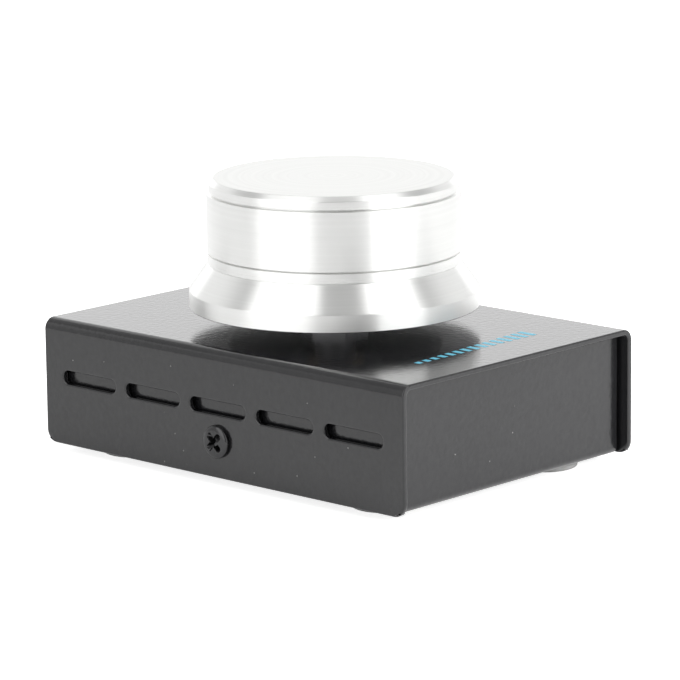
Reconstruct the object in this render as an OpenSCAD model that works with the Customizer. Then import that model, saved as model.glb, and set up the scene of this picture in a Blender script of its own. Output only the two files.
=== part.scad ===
// Desktop volume knob on a folded sheet-metal case, with a push-and-turn encoder on a board inside.
// Millimetres, +Z up. The origin is on the table, under the middle of the case; the front faces -Y.

/* [Case] */
// Width over the cover's two flaps
case_w = 58.5; // [57:0.5:80]
// Length of the cover from front to back
case_l = 84; // [82:0.5:120]
// Height of the cover, from a flap's lower edge to the top face
flap_h = 22; // [21.5:0.5:32]
// Thickness of the folded sheet
sheet_t = 1; // [0.8:0.1:1.4]
// Outside radius of the sheet's bends
bend_r = 2; // [1.6:0.1:3]
// Corner radius of the flaps, seen from the side
flap_corner_r = 2.3; // [0.5:0.1:4]
// Distance of the tray's end panels behind the cover's edges
panel_inset = 2; // [1:0.1:5]
// Clearance between the cover's top and the tray under it
nest_gap = 0.1; // [0.05:0.05:0.3]
// Clearance between the flaps and the tray's sides
side_gap = 0.5; // [0.1:0.1:0.8]
// Width of the slits between the tray's sides and the bends of its end panels
slit_w = 0.5; // [0.3:0.1:2]

/* [Vent slots] */
// Slots in each flap
slot_count = 5; // [1:1:5]
// Distance from one slot to the next
slot_pitch = 15.5; // [14:0.1:16]
// Length of a slot over its round ends
slot_l = 13; // [6:0.5:13.5]
// Width of a slot
slot_w = 2.4; // [1:0.1:3]
// Depth of the slots' middle below the top face
slot_drop = 9.9; // [6:0.1:10.5]

/* [Feet] */
// Diameter of a rubber foot
foot_d = 11.5; // [8:0.5:13]
// Height of a rubber foot
foot_h = 1.5; // [1:0.1:5]
// Chamfer round a foot's lower edge
foot_chamfer = 0.4; // [0.1:0.1:0.8]
// Distance of a left foot's axis from the left side of the tray
left_foot_side_inset = 7.8; // [7:0.1:14]
// Distance of a left foot's axis from the nearer end panel
left_foot_end_inset = 10.6; // [8:0.1:20]
// Distance of a right foot's axis from the right side of the tray
right_foot_side_inset = 9.7; // [7:0.1:14]
// Distance of a right foot's axis from the nearer end panel
right_foot_end_inset = 8.2; // [8:0.1:20]

/* [Screws] */
// Thread diameter of the cover and board screws
screw_d = 3; // [2.5:0.1:3.2]
// Diameter of a screw's pan head
head_d = 5.7; // [5:0.1:6.4]
// Height of a screw's pan head
head_h = 1.1; // [0.9:0.1:2.2]
// Crown radius of a pan head
head_crown_r = 18; // [4:0.5:30]
// Span of the cross recess
recess_span = 4.2; // [2:0.1:4.5]
// Width of one wing of the cross recess
recess_wing = 1.1; // [0.5:0.05:1.4]
// Depth of the cross recess
recess_depth = 0.8; // [0.4:0.1:0.9]
// Turn of the cross recess about the screw's axis
recess_turn = 45; // [0:5:90]
// Length of a cover screw under its head
cover_screw_l = 5; // [4.6:0.1:6]
// Depth of the cover screws below the top face
cover_screw_drop = 15.6; // [14.5:0.1:16.5]
// Length of a board screw under its head
board_screw_l = 6; // [4:0.5:9]
// Diameter of the clinch nuts in the tray's sides
nut_d = 6.4; // [5:0.1:8]
// Height of the clinch nuts
nut_h = 2; // [1.5:0.1:2.5]
// Radial clearance of holes that screws and bushes pass through
hole_gap = 0.2; // [0.1:0.05:0.5]
// Radial clearance drawn at a thread or a pressed-in piece
thread_gap = 0.03; // [0.02:0.01:0.06]

/* [Knob] */
// Air gap between the case and the knob's underside
knob_gap = 3.5; // [2:0.1:5]
// Diameter of the knob's base
base_d = 50.1; // [47:0.1:56]
// Height of the upright band round the base
base_band_h = 3; // [1.5:0.1:5]
// Height of the sloping skirt above the base band
skirt_h = 4.5; // [2:0.1:7]
// Diameter of the grip
grip_d = 43.7; // [42:0.1:46]
// Height of the plain collar between the skirt and the lower groove
collar_h = 1.85; // [1:0.05:4]
// Height of the grip between its two grooves
grip_h = 10.1; // [9:0.1:16]
// Diameter of the rim above the upper groove
rim_d = 42.9; // [41:0.1:45]
// Height of the rim's upright band
rim_h = 1.4; // [0.8:0.1:3]
// Chamfer round the top face
top_chamfer = 0.85; // [0.3:0.05:1.5]
// Width of a turned groove
groove_w = 0.3; // [0.15:0.05:0.6]
// Depth of a turned groove
groove_depth = 0.4; // [0.2:0.05:0.8]
// Diameter of the recess turned into the underside
recess_d = 37; // [30:0.5:38]
// Thickness of the knob's top above that recess
crown_t = 7; // [4:0.1:8]
// Diameter of the hub in the recess
hub_d = 16; // [13:0.1:20]
// Clearance between the hub and the end of the encoder's bush
hub_gap = 1.2; // [0.8:0.1:2]
// Diameter of the insert pressed into the hub
insert_d = 10; // [9:0.1:11.5]

/* [Encoder] */
// Diameter of the encoder's shaft
shaft_d = 6; // [5:0.1:6.2]
// Depth of the flat on the shaft's upper end
shaft_flat = 1.5; // [0.5:0.1:2]
// Length of shaft held in the insert
shaft_grip = 8; // [5:0.1:9]
// Radial running clearance of the shaft
run_gap = 0.05; // [0.02:0.01:0.1]
// Diameter of the threaded bush
bush_d = 7; // [6.8:0.1:8]
// Length of the threaded bush above the encoder's frame
bush_l = 7; // [5.5:0.1:8]
// Size of the nut across its flats
hex_af = 10; // [9.5:0.1:12]
// Thickness of the nut
hex_h = 2; // [1.5:0.1:2.5]
// Diameter of the lock washer
washer_d = 11; // [10.5:0.1:13]
// Thickness of the lock washer
washer_t = 0.5; // [0.3:0.1:0.8]
// Width of the encoder's square body
encoder_w = 12; // [11.8:0.1:14]
// Height of the encoder's body below its frame
encoder_h = 5.5; // [5.2:0.1:6]
// Thickness of the encoder's frame plate
frame_t = 1; // [0.8:0.1:1.4]
// Thickness of the frame's two side tabs
tab_t = 0.5; // [0.3:0.1:0.8]
// Wall between the body's round chamber and its sides
chamber_wall = 1; // [0.6:0.1:1.4]
// Thickness of the body's floor
chamber_floor = 0.9; // [0.6:0.1:1]
// Thickness of the rotor's disc
rotor_t = 2; // [1.5:0.1:2.1]
// Clearance round and above the rotor
rotor_gap = 0.3; // [0.2:0.05:0.4]
// Detents round the rotor
detent_count = 20; // [12:1:30]
// Radius of one detent notch
detent_r = 0.35; // [0.2:0.05:0.4]
// Thickness of the detent spring
detent_t = 0.3; // [0.2:0.05:0.4]
// Diameter of the shaft's driving end
drive_d = 4.4; // [4:0.1:4.8]
// Distance across the driving end's two flats
drive_af = 3.4; // [2.8:0.1:3.8]
// Travel of the knob when it is pressed
press_travel = 0.5; // [0.3:0.1:0.5]
// Diameter of the switch's snap dome
dome_d = 6; // [5:0.1:7]
// Height of the snap dome
dome_h = 0.6; // [0.5:0.05:0.7]
// Thickness of the snap dome
dome_t = 0.1; // [0.08:0.01:0.15]
// Diameter of the plunger on the dome
plunger_d = 3; // [2:0.1:3.6]
// Height of the plunger
plunger_h = 0.8; // [0.5:0.1:0.9]
// Free play between the dome, the plunger and the shaft
play = 0.05; // [0.02:0.01:0.1]
// Width of one soldered terminal
pin_w = 0.8; // [0.5:0.1:1]
// Thickness of one soldered terminal
pin_t = 0.4; // [0.3:0.1:0.6]
// Length of terminal under the board
pin_tail = 1.5; // [0.8:0.1:2.5]
// Distance from one terminal to the next
pin_pitch = 2.5; // [2:0.1:3]

/* [Board] */
// Width of the circuit board
board_w = 46; // [42:0.5:48]
// Thickness of the circuit board
board_t = 1.6; // [1:0.1:1.8]
// Gap between the board's ends and the tray's panels
board_gap = 1; // [0.5:0.1:2]
// Distance of the standoffs from the board's edges
standoff_inset = 4; // [3.6:0.1:6]
// Size of a hexagonal standoff across its flats
standoff_af = 5.5; // [5:0.1:6]
// Diameter of the spigot that is clinched into the tray
spigot_d = 4.2; // [3.6:0.1:4.8]

/* [Socket] */
// Outside width of the square-type data socket
socket_w = 12; // [11.4:0.1:12.6]
// Outside height of the socket
socket_h = 10.8; // [10.2:0.1:10.9]
// Depth of the socket
socket_l = 16; // [14:0.5:18]
// Thickness of the socket's metal shell
shell_t = 0.4; // [0.3:0.05:0.5]
// Width of the socket's mouth
mouth_w = 8.6; // [8.2:0.1:9]
// Height of the socket's mouth
mouth_h = 7.9; // [7.6:0.1:8.2]
// Bevel of the mouth's two keyed corners
mouth_key = 1.6; // [1:0.1:2]
// Depth of the mouth
mouth_depth = 10.5; // [9.5:0.1:12]
// Width of the tongue in the mouth
tongue_w = 5.6; // [5:0.1:6]
// Height of the tongue
tongue_h = 3.2; // [2.8:0.1:3.4]
// Distance of the tongue's end behind the mouth
tongue_inset = 1; // [0.5:0.1:2]
// Width of a contact strip
contact_w = 1; // [0.6:0.1:1.2]
// Thickness of a contact strip
contact_t = 0.25; // [0.15:0.05:0.4]
// Distance between the two contacts on one side of the tongue
contact_pitch = 2.5; // [2:0.1:2.8]
// Clearance of the socket in the panel's cut-out
socket_gap = 0.2; // [0.1:0.05:0.5]

/* [Board components] */
// Side of the controller chip's body
chip_w = 7; // [5:0.1:9]
// Height of the controller chip's body
chip_h = 1.2; // [0.8:0.1:1.6]
// Leads on each side of the controller chip
lead_count = 8; // [4:1:8]
// Distance from one lead to the next
lead_pitch = 0.8; // [0.5:0.05:0.9]
// Width of one lead
lead_w = 0.35; // [0.2:0.05:0.4]
// Thickness of one lead
lead_t = 0.2; // [0.1:0.05:0.3]
// Reach of a lead's foot beyond the chip
lead_reach = 1; // [0.6:0.1:1.5]
// Length of the crystal's can
crystal_l = 10.5; // [8:0.5:12]
// Width of the crystal's can
crystal_w = 4.4; // [3.5:0.1:5]
// Height of the crystal's can
crystal_h = 3.4; // [2.5:0.1:4]
// Diameter of the supply capacitor's can
can_d = 5; // [4:0.1:6.3]
// Height of the supply capacitor over its base
can_h = 5; // [4:0.1:5.4]
// Side of the supply capacitor's base
can_base = 5.4; // [5:0.1:6.6]
// Height of the supply capacitor's base
can_base_h = 0.6; // [0.4:0.1:0.9]
// Length of a surface-mount resistor or capacitor
smd_l = 2; // [1.6:0.1:3.2]
// Width of a surface-mount resistor or capacitor
smd_w = 1.25; // [0.8:0.05:1.6]
// Height of a surface-mount resistor
resistor_h = 0.5; // [0.3:0.1:0.8]
// Height of a surface-mount capacitor
ceramic_h = 0.9; // [0.6:0.1:1.4]
// Distance from one surface-mount piece to the next
smd_pitch = 2.6; // [2.2:0.1:3.2]

/* [Hidden] */
$fn = 64;
// Overshoot of a cutting shape beyond the face it opens
cut = 1;

tray_z = foot_h;
floor_z = tray_z + sheet_t;
top_z = tray_z + flap_h;
ceiling_z = top_z - sheet_t;
tray_w = case_w - 2 * (sheet_t + side_gap);
tray_l = case_l - 2 * panel_inset;
tray_h = ceiling_z - nest_gap - tray_z;
side_l = tray_l - 2 * (bend_r + slit_w);
inner_r = bend_r - sheet_t;
slot_z = top_z - slot_drop;
cover_screw_z = top_z - cover_screw_drop;
screw_hole_r = screw_d / 2 + hole_gap;
thread_r = screw_d / 2 + thread_gap;

knob_z = top_z + knob_gap;
skirt_z = knob_z + base_band_h;
collar_z = skirt_z + skirt_h;
low_groove_z = collar_z + collar_h;
grip_z = low_groove_z + groove_w;
high_groove_z = grip_z + grip_h;
rim_z = high_groove_z + groove_w;
chamfer_z = rim_z + rim_h;
knob_top_z = chamfer_z + top_chamfer;
crown_z = knob_top_z - crown_t;
groove_r = min(grip_d, rim_d) / 2 - groove_depth;

plate_z = ceiling_z - frame_t;
encoder_z = plate_z - encoder_h;
bush_top_z = ceiling_z + bush_l;
hub_z = bush_top_z + hub_gap;
shaft_top_z = hub_z + shaft_grip;
chamber_r = encoder_w / 2 - chamber_wall;
chamber_z = encoder_z + chamber_floor;
rotor_top_z = plate_z - detent_t - rotor_gap;
rotor_r = chamber_r - rotor_gap;
plunger_z = chamber_z + dome_h + play;
shaft_z = plunger_z + plunger_h + play;
shoulder_z = rotor_top_z + press_travel + 2 * play;

board_z = encoder_z;
board_l = tray_l - 2 * (sheet_t + board_gap);
board_under_z = board_z - board_t;
standoff_h = board_under_z - floor_z;
standoff_x = board_w / 2 - standoff_inset;
standoff_y = board_l / 2 - standoff_inset;
panel_y = tray_l / 2;
socket_z = board_under_z - socket_h / 2;
insulator_w = socket_w - 2 * (shell_t + thread_gap);
insulator_h = socket_h - 2 * (shell_t + thread_gap);
// Places of the rear feet, which the front ones mirror; they are stuck on by hand, not quite evenly
left_foot = [left_foot_side_inset - tray_w / 2, tray_l / 2 - left_foot_end_inset];
right_foot = [tray_w / 2 - right_foot_side_inset, tray_l / 2 - right_foot_end_inset];
terminal_x = encoder_w / 2 + pin_t / 2;
// Room kept between the encoder's terminals and the parts beside them
part_gap = 4;
chip_y = -encoder_w / 2 - part_gap - lead_reach - chip_w / 2;
crystal_x = -encoder_w / 2 - part_gap - crystal_w / 2;
can_x = encoder_w / 2 + part_gap + can_base / 2;

// Flat outline with round upper corners, standing on y = 0
module round_top(w, h, r) {
    translate([-w / 2, 0]) square([w, h - r]);
    translate([r - w / 2, 0]) square([w - 2 * r, h]);
    for (side = [-1, 1]) translate([side * (w / 2 - r), h - r]) circle(r);
}

// Flat outline with round lower corners, standing on y = 0
module round_foot(w, h, r) {
    translate([0, h]) mirror([0, 1]) round_top(w, h, r);
}

// Folded channel seen from its end, standing on y = 0
module channel(w, h) {
    difference() {
        round_foot(w, h, bend_r);
        translate([0, sheet_t]) round_foot(w - 2 * sheet_t, h, inner_r);
    }
}

// Stretches an outline in X and Z along Y, about y = 0
module along_y(l) {
    rotate([90, 0, 0]) linear_extrude(l, center = true) children();
}

// Stretches an outline in Y and Z along X, about x = 0
module along_x(l) {
    rotate([90, 0, 90]) linear_extrude(l, center = true) children();
}

// Block whose lowest face is at z = 0 and whose middle is on the Z axis
module block(w, l, h) {
    translate([-w / 2, -l / 2, 0]) cube([w, l, h]);
}

// Flat ring about the Z axis, standing on z = 0
module ring(outer_r, hole_r, h) {
    difference() {
        cylinder(h, r = outer_r);
        translate([0, 0, -cut]) cylinder(h + 2 * cut, r = hole_r);
    }
}

// Hexagonal bar about the Z axis, standing on z = 0
module hex_bar(af, h) {
    cylinder(h, r = af / sqrt(3), $fn = 6);
}

// Pan-head screw with a cross recess; the head's seat is at z = 0 and the shank points down
module pan_screw(l) {
    difference() {
        intersection() {
            cylinder(head_h, d = head_d);
            translate([0, 0, head_h - head_crown_r]) sphere(head_crown_r);
        }
        for (turn = [0, 90]) rotate(recess_turn + turn) translate([0, 0, head_h - recess_depth])
            block(recess_span, recess_wing, recess_depth + cut);
    }
    translate([0, 0, -l]) cylinder(l, d = screw_d);
}

// Copies a piece to the two sides of the case, turned to point outwards along X
module on_both_sides(x, z) {
    for (side = [-1, 1]) translate([side * x, 0, z]) rotate([0, side * 90, 0]) children();
}

// Copies a piece to the four standoffs
module at_standoffs(z) {
    for (x = [-1, 1], y = [-1, 1]) translate([x * standoff_x, y * standoff_y, z]) children();
}

// Row of long round-ended slots through both flaps
module vent_slots() {
    half = (slot_l - slot_w) / 2;
    for (i = [0 : slot_count - 1]) translate([0, (i - (slot_count - 1) / 2) * slot_pitch, slot_z])
        along_x(case_w + 2 * cut) {
            square([2 * half, slot_w], center = true);
            for (end = [-half, half]) translate([end, 0]) circle(d = slot_w);
        }
}

// Folded cover: a top and two side flaps
module top_cover() color([0.1, 0.1, 0.11]) difference() {
    translate([0, 0, tray_z]) intersection() {
        along_y(case_l) difference() {
            round_top(case_w, flap_h, bend_r);
            translate([0, -cut]) round_top(case_w - 2 * sheet_t, flap_h - sheet_t + cut, inner_r);
        }
        along_x(case_w + 2 * cut) round_foot(case_l, flap_h, flap_corner_r);
    }
    vent_slots();
    on_both_sides(0, cover_screw_z) cylinder(case_w, r = screw_hole_r);
    translate([0, 0, ceiling_z - cut]) cylinder(sheet_t + 2 * cut, r = bush_d / 2 + hole_gap);
}

// Folded tray: a strip with two end panels, and two sides that stop where the cover's bends begin
module bottom_tray() color([0.12, 0.12, 0.13]) difference() {
    translate([0, 0, tray_z]) {
        difference() {
            intersection() {
                along_x(tray_w) channel(tray_l, tray_h);
                along_y(tray_l + 2 * cut) round_top(tray_w, tray_h, inner_r);
            }
            for (side = [-1, 1]) translate([side * tray_w / 2, 0, -cut])
                block(2 * bend_r, side_l + 2 * slit_w, sheet_t + 2 * cut);
        }
        along_y(side_l) channel(tray_w, tray_h - inner_r);
    }
    on_both_sides(0, cover_screw_z) cylinder(case_w, r = screw_hole_r);
    at_standoffs(tray_z - cut) cylinder(sheet_t + 2 * cut, d = spigot_d);
    translate([0, panel_y, socket_z - socket_h / 2 - socket_gap])
        block(socket_w + 2 * socket_gap, 2 * sheet_t + cut, socket_h + 2 * socket_gap);
}

// Round rubber foot under one corner of the tray, at the place of a rear foot; end is -1 for front
module rubber_foot(place, end) color([0.5, 0.5, 0.5]) translate([place.x, end * place.y, 0]) {
    cylinder(foot_chamfer, r1 = foot_d / 2 - foot_chamfer, r2 = foot_d / 2);
    translate([0, 0, foot_chamfer]) cylinder(foot_h - foot_chamfer, d = foot_d);
}

// Screws that hold the flaps to the tray
module cover_screws() color([0.07, 0.07, 0.07])
    on_both_sides(case_w / 2, cover_screw_z) pan_screw(cover_screw_l);

// Nuts clinched into the tray's sides for the cover screws
module clinch_nuts() color("silver") on_both_sides(tray_w / 2 - sheet_t - nut_h, cover_screw_z)
    ring(nut_d / 2, thread_r, nut_h);

// Turned knob: base band, sloping skirt, grooved grip, rim and a hollow underside with a hub
module knob() color([0.86, 0.87, 0.88]) rotate_extrude() polygon([
    [insert_d / 2 + thread_gap, hub_z], [hub_d / 2, hub_z], [hub_d / 2, crown_z], [recess_d / 2, crown_z],
    [recess_d / 2, knob_z], [base_d / 2, knob_z], [base_d / 2, skirt_z],
    [grip_d / 2, collar_z], [grip_d / 2, low_groove_z], [groove_r, low_groove_z], [groove_r, grip_z],
    [grip_d / 2, grip_z], [grip_d / 2, high_groove_z], [groove_r, high_groove_z], [groove_r, rim_z],
    [rim_d / 2, rim_z], [rim_d / 2, chamfer_z], [rim_d / 2 - top_chamfer, knob_top_z],
    [0, knob_top_z], [0, crown_z], [insert_d / 2 + thread_gap, crown_z]
]);

// Cross-section of the shaft's upper end, with its flat towards +Y
module flat_shaft(r) {
    difference() {
        circle(r);
        translate([-r, r - shaft_flat]) square([2 * r, 2 * r]);
    }
}

// Bush pressed into the knob's hub, bored to the shaft's flat
module knob_insert() color([0.78, 0.66, 0.35]) translate([0, 0, hub_z]) difference() {
    cylinder(crown_z - hub_z, d = insert_d);
    translate([0, 0, -cut]) linear_extrude(shaft_grip + cut) flat_shaft(shaft_d / 2 + thread_gap);
}

// Cross-section of the shaft's driving end, round with two flats
module drive_section(gap) {
    intersection() {
        circle(drive_d / 2 + gap);
        square([drive_af + 2 * gap, drive_d + 4 * gap], center = true);
    }
}

// Shaft from the switch plunger up into the knob
module encoder_shaft() color("silver") {
    translate([0, 0, shaft_z]) linear_extrude(shoulder_z - shaft_z) drive_section(0);
    translate([0, 0, shoulder_z]) cylinder(hub_z - shoulder_z, d = shaft_d);
    translate([0, 0, hub_z]) linear_extrude(shaft_top_z - hub_z) flat_shaft(shaft_d / 2);
}

// Metal frame with its threaded bush and two tabs folded down over the body
module encoder_frame() color([0.75, 0.75, 0.77]) difference() {
    union() {
        translate([0, 0, plate_z]) block(encoder_w, encoder_w + 2 * tab_t, frame_t);
        for (side = [-1, 1]) translate([0, side * (encoder_w + tab_t) / 2, encoder_z])
            block(encoder_w / 2, tab_t, encoder_h);
        translate([0, 0, ceiling_z]) cylinder(bush_l, d = bush_d);
    }
    translate([0, 0, plate_z - cut]) cylinder(frame_t + bush_l + 2 * cut, r = shaft_d / 2 + run_gap);
}

// Washer under the nut
module lock_washer() color("silver") translate([0, 0, top_z])
    ring(washer_d / 2, bush_d / 2 + thread_gap, washer_t);

// Nut that clamps the encoder to the cover
module encoder_nut() color("silver") translate([0, 0, top_z + washer_t]) difference() {
    hex_bar(hex_af, hex_h);
    translate([0, 0, -cut]) cylinder(hex_h + 2 * cut, r = bush_d / 2 + thread_gap);
}

// Moulded body with a round chamber
module encoder_body() color([0.16, 0.2, 0.16]) difference() {
    translate([0, 0, encoder_z]) block(encoder_w, encoder_w, encoder_h);
    translate([0, 0, chamber_z]) cylinder(encoder_h, r = chamber_r);
}

// Disc that the shaft drives, with detent notches round its rim
module encoder_rotor() color([0.85, 0.85, 0.8]) translate([0, 0, rotor_top_z - rotor_t]) difference() {
    cylinder(rotor_t, r = rotor_r);
    translate([0, 0, -cut]) linear_extrude(rotor_t + 2 * cut) drive_section(run_gap);
    for (i = [0 : detent_count - 1]) rotate(i * 360 / detent_count) translate([rotor_r, 0, -cut])
        cylinder(rotor_t + 2 * cut, r = detent_r);
}

// Flat ring spring under the frame that the rotor clicks against
module detent_spring() color([0.8, 0.6, 0.4]) translate([0, 0, plate_z - detent_t])
    ring(rotor_r, shaft_d / 2 + 2 * rotor_gap, detent_t);

// One terminal: a strip on the body's side that goes down through the board
module terminal(side, y) {
    translate([side * terminal_x, y, board_under_z - pin_tail])
        block(pin_t, pin_w, pin_tail + board_t + encoder_h / 2);
}

// Three terminals of the encoder on one side and two of its switch on the other
module encoder_terminals() color("silver") {
    for (i = [-1, 0, 1]) terminal(-1, i * pin_pitch);
    for (i = [-1, 1]) terminal(1, i * pin_pitch);
}

// Snap dome of the push switch: a thin spherical cap
module switch_dome() color("silver") {
    dome_r = (dome_d * dome_d / 4 + dome_h * dome_h) / (2 * dome_h);
    translate([0, 0, chamber_z]) intersection() {
        cylinder(dome_h, d = dome_d + cut);
        translate([0, 0, dome_h - dome_r]) difference() {
            sphere(dome_r);
            sphere(dome_r - dome_t);
        }
    }
}

// Small plunger between the shaft and the dome
module switch_plunger() color([0.2, 0.2, 0.2])
    translate([0, 0, plunger_z]) cylinder(plunger_h, d = plunger_d);

// Circuit board with holes for its screws and the encoder's terminals
module circuit_board() color([0.05, 0.3, 0.16]) difference() {
    translate([0, 0, board_under_z]) block(board_w, board_l, board_t);
    at_standoffs(board_under_z - cut) cylinder(board_t + 2 * cut, r = screw_hole_r);
    for (side = [-1, 1], i = [-1, 0, 1]) translate([side * terminal_x, i * pin_pitch, board_under_z - cut])
        cylinder(board_t + 2 * cut, r = norm([pin_w, pin_t]) / 2 + thread_gap);
}

// Hexagonal standoffs, each with a spigot in the tray's floor
module board_standoffs() color([0.8, 0.7, 0.4]) at_standoffs(floor_z) {
    difference() {
        hex_bar(standoff_af, standoff_h);
        translate([0, 0, standoff_h - board_screw_l]) cylinder(board_screw_l + cut, r = thread_r);
    }
    translate([0, 0, -sheet_t]) cylinder(sheet_t, r = spigot_d / 2 - thread_gap);
}

// Screws that hold the board to its standoffs
module board_screws() color("silver") at_standoffs(board_z) pan_screw(board_screw_l);

// Metal shell of the data socket, open at the rear panel
module socket_shell() color("silver")
    translate([0, panel_y - socket_l / 2, socket_z - socket_h / 2]) difference() {
        block(socket_w, socket_l, socket_h);
        translate([0, 0, shell_t]) block(socket_w - 2 * shell_t, socket_l + 2 * cut, socket_h - 2 * shell_t);
    }

// Keyed outline of the socket's mouth
module mouth_outline() {
    polygon([
        [-mouth_w / 2, -mouth_h / 2], [mouth_w / 2, -mouth_h / 2],
        [mouth_w / 2, mouth_h / 2 - mouth_key], [mouth_w / 2 - mouth_key, mouth_h / 2],
        [mouth_key - mouth_w / 2, mouth_h / 2], [-mouth_w / 2, mouth_h / 2 - mouth_key]
    ]);
}

// Moulded block of the socket, with its mouth and the tongue in it
module socket_insulator() color([0.9, 0.9, 0.88]) {
    tongue_l = mouth_depth - tongue_inset;
    difference() {
        translate([0, panel_y - socket_l / 2, socket_z - insulator_h / 2])
            block(insulator_w, socket_l, insulator_h);
        translate([0, panel_y - mouth_depth / 2 + cut / 2, socket_z])
            along_y(mouth_depth + cut) mouth_outline();
    }
    translate([0, panel_y - mouth_depth + tongue_l / 2, socket_z - tongue_h / 2])
        block(tongue_w, tongue_l, tongue_h);
}

// Four contact strips, two on each face of the tongue
module socket_contacts() color([0.85, 0.7, 0.35]) {
    strip_l = mouth_depth - 2 * tongue_inset;
    for (x = [-1, 1], face = [-1, 1])
        translate([x * contact_pitch / 2, panel_y - mouth_depth + strip_l / 2,
                   socket_z + face * (tongue_h + contact_t) / 2 - contact_t / 2])
            block(contact_w, strip_l, contact_t);
}

// Controller chip
module controller_chip() color([0.12, 0.12, 0.12]) translate([0, chip_y, board_z + lead_t])
    block(chip_w, chip_w, chip_h);

// Leads on the chip's four sides, each an upright and a foot on the board
module chip_leads() color("silver") translate([0, chip_y, board_z])
    for (turn = [0 : 90 : 270], i = [0 : lead_count - 1]) rotate(turn)
        translate([chip_w / 2, (i - (lead_count - 1) / 2) * lead_pitch, 0]) {
            translate([lead_reach / 2, 0, 0]) block(lead_reach, lead_w, lead_t);
            translate([lead_t / 2, 0, 0]) block(lead_t, lead_w, lead_t + chip_h / 2);
        }

// Crystal in its round-ended can
module crystal() color("silver") translate([crystal_x, chip_y, board_z]) {
    straight = crystal_l - crystal_w;
    block(crystal_w, straight, crystal_h);
    for (end = [-1, 1]) translate([0, end * straight / 2, 0]) cylinder(crystal_h, d = crystal_w);
}

// Supply capacitor: a can on a square base
module supply_capacitor() color([0.75, 0.75, 0.75]) translate([can_x, chip_y, board_z]) {
    block(can_base, can_base, can_base_h);
    translate([0, 0, can_base_h]) cylinder(can_h, d = can_d);
}

// Row of small surface-mount pieces on the board
module smd_row(x, y, count, h) {
    for (i = [0 : count - 1]) translate([x, y + i * smd_pitch, board_z]) block(smd_l, smd_w, h);
}

// Ceramic capacitors beside the encoder's switch terminals
module ceramic_capacitors() color([0.72, 0.6, 0.42]) smd_row(can_x, -smd_pitch, 4, ceramic_h);

// Resistors beside the encoder's three terminals
module chip_resistors() color([0.1, 0.1, 0.1]) smd_row(crystal_x, -smd_pitch, 6, resistor_h);

top_cover();
bottom_tray();
rubber_foot(left_foot, -1);  // foot_front_left
rubber_foot(right_foot, -1);  // foot_front_right
rubber_foot(left_foot, 1);  // foot_rear_left
rubber_foot(right_foot, 1);  // foot_rear_right
cover_screws();
clinch_nuts();
knob();
knob_insert();
encoder_shaft();
encoder_frame();
encoder_nut();
lock_washer();
encoder_body();
encoder_rotor();
detent_spring();
encoder_terminals();
switch_dome();
switch_plunger();
circuit_board();
board_standoffs();
board_screws();
socket_shell();
socket_insulator();
socket_contacts();
controller_chip();
chip_leads();
crystal();
supply_capacitor();
ceramic_capacitors();
chip_resistors();
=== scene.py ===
"""Looks of a desktop volume knob: a turned metal knob over a black folded sheet-metal case."""

import logging
import math
from collections.abc import Iterable
from dataclasses import dataclass, field
from enum import Enum

import bmesh
import bpy
from bmesh.types import BMEdge, BMesh, BMFace, BMVert
from mathutils import Matrix, Vector


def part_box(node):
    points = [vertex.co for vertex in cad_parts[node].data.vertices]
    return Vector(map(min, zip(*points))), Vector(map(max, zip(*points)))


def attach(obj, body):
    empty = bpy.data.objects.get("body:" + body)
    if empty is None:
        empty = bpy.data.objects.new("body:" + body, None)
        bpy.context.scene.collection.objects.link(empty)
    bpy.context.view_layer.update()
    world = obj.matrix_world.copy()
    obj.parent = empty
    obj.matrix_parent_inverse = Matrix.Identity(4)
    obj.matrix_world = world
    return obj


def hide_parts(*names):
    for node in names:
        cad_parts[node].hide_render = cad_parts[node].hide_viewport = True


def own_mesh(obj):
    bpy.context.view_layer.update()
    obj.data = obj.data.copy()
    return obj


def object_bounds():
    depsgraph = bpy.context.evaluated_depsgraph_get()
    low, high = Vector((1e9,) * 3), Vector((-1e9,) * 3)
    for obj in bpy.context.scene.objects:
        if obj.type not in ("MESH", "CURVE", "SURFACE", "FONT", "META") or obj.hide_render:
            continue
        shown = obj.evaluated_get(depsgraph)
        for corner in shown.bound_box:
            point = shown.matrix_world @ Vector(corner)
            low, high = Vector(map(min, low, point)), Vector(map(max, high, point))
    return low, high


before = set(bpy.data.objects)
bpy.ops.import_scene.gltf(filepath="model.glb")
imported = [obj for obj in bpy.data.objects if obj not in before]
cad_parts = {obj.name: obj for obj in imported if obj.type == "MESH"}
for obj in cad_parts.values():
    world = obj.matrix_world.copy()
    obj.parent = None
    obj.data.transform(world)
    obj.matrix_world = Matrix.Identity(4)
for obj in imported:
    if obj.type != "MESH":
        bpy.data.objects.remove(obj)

LOG = logging.getLogger("volume_knob")
CAD_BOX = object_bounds()
MM = 0.001
X, Y, Z = (Vector(axis) for axis in ((1, 0, 0), (0, 1, 0), (0, 0, 1)))
# Distances under which two places are one, and under which vertices are merged
TOUCH = 0.001 * MM
MERGE = 0.0001 * MM
# Share of a unit normal at which a face looks one way
FLAT = 0.999
# Mean of a noise, and octaves of slow mottling
NOISE_MEAN = 0.5
CLOUD_DETAIL = 3.0
Colour = tuple[float, float, float]


class Body(Enum):
    """Bodies of the frame that the pieces ride on."""

    HOUSING = "housing"
    KNOB = "knob_group"


class Slot(Enum):
    """Material slots of the object's finishes."""

    POWDER_COAT = "powder_coat"
    TURNED_ALUMINIUM = "turned_aluminium"
    FOOT_RUBBER = "foot_rubber"
    BLACK_SCREW = "black_screw"
    PLATED_STEEL = "plated_steel"
    SPRING_METAL = "spring_metal"
    BRASS = "brass"
    GOLD_PLATE = "gold_plate"
    DARK_MOULDING = "dark_moulding"
    PALE_MOULDING = "pale_moulding"
    BOARD_LAMINATE = "board_laminate"
    CERAMIC = "ceramic"
    PRINT_INK = "print_ink"


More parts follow.
